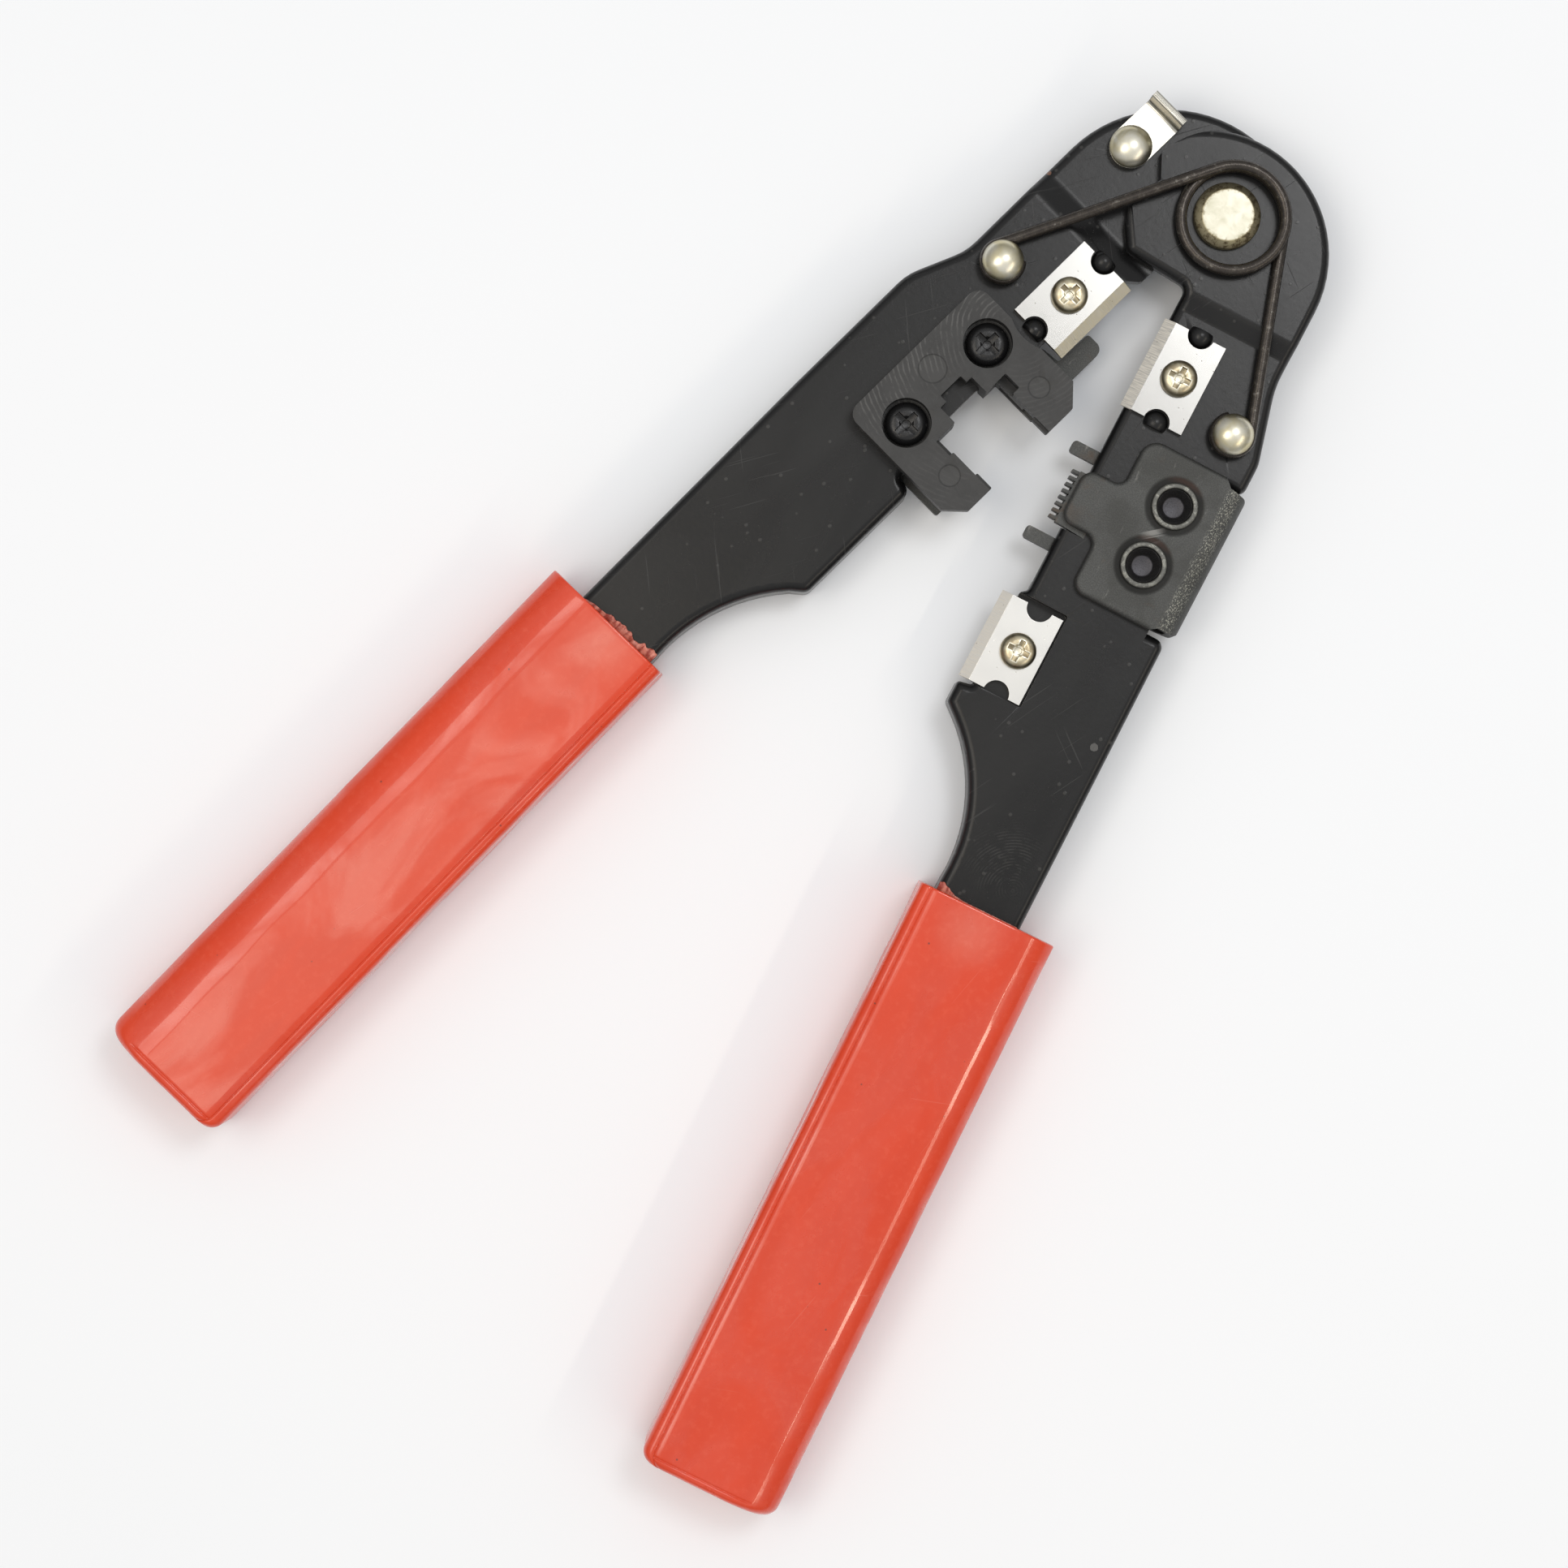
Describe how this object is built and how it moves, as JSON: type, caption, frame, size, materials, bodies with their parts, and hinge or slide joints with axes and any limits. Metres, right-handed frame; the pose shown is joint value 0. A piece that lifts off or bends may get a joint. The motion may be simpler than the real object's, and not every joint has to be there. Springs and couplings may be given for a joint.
{
  "type": "modular plug crimping tool",
  "caption": "Hand crimping tool for modular network plugs, with strip blades, a cutter, a plug die, a comb punch, a return spring, a latch and sleeve grips.",
  "frame": {"origin": "pivot axis, in the plane that the tool lies on: the flat rear head of the pivot rivet", "axes": "+Y along the die arm from its grip to the head, +Z out of the front, where the blades are, +X from the die arm to the punch arm"},
  "size_m": [0.1178, 0.2065, 0.0143],
  "materials": {
    "black_enamel": "satin black stoving enamel",
    "red_pvc": "glossy orange-red soft PVC",
    "die_plastic": "dark grey glass-filled moulding",
    "phosphated_steel": "dark grey phosphated and oiled steel",
    "black_oxide_screw": "black oxide",
    "blade_steel": "nickel plated, bevel left brushed",
    "zinc_yellow": "pale yellow passivated zinc",
    "spring_wire": "dark oiled spring wire",
    "plain_steel": "plain zinc plated steel",
    "nickel_plate": "bright nickel plate"
  },
  "bodies": {
    "die_arm": {"die_arm": "black_enamel", "die_arm_grip": "red_pvc", "crimp_die": "die_plastic", "die_backing_plate": "phosphated_steel", "die_spacers": "plain_steel", "die_screws": "black_oxide_screw", "die_nuts": "plain_steel", "die_strip_blade": "blade_steel", "die_blade_screw": "zinc_yellow", "die_blade_nut": "plain_steel", "die_spring_post": "zinc_yellow", "pivot_rivet": "zinc_yellow", "pivot_washer": "plain_steel", "latch_rivet": "zinc_yellow", "torsion_spring": "spring_wire"},
    "punch_arm": {"punch_arm": "black_enamel", "punch_arm_grip": "red_pvc", "punch_strip_blade": "blade_steel", "cutter_blade": "blade_steel", "punch_blade_screws": "zinc_yellow", "punch_blade_nuts": "plain_steel", "punch_spring_post": "zinc_yellow", "punch_bracket": "phosphated_steel", "bracket_rivets": "phosphated_steel", "contact_comb": "phosphated_steel", "guide_plate": "phosphated_steel", "strain_relief_punch": "phosphated_steel"},
    "latch": {"latch_plate": "nickel_plate"}
  },
  "joints": [
    {"name": "handle_pivot", "type": "hinge", "parent": "die_arm", "child": "punch_arm", "pos_m": [0, 0, 0], "axis": [0, 0, -1], "range_deg": [0, 18], "stiffness_Nm_per_rad": 1.1, "springref_deg": -11.46, "deforming": ["torsion_spring"]},
    {"name": "latch_pivot", "type": "hinge", "parent": "die_arm", "child": "latch", "pos_m": [-0.0167, -0.00256, 0.0085], "axis": [0, 0, 1], "range_deg": [0, 45]}
  ]
}
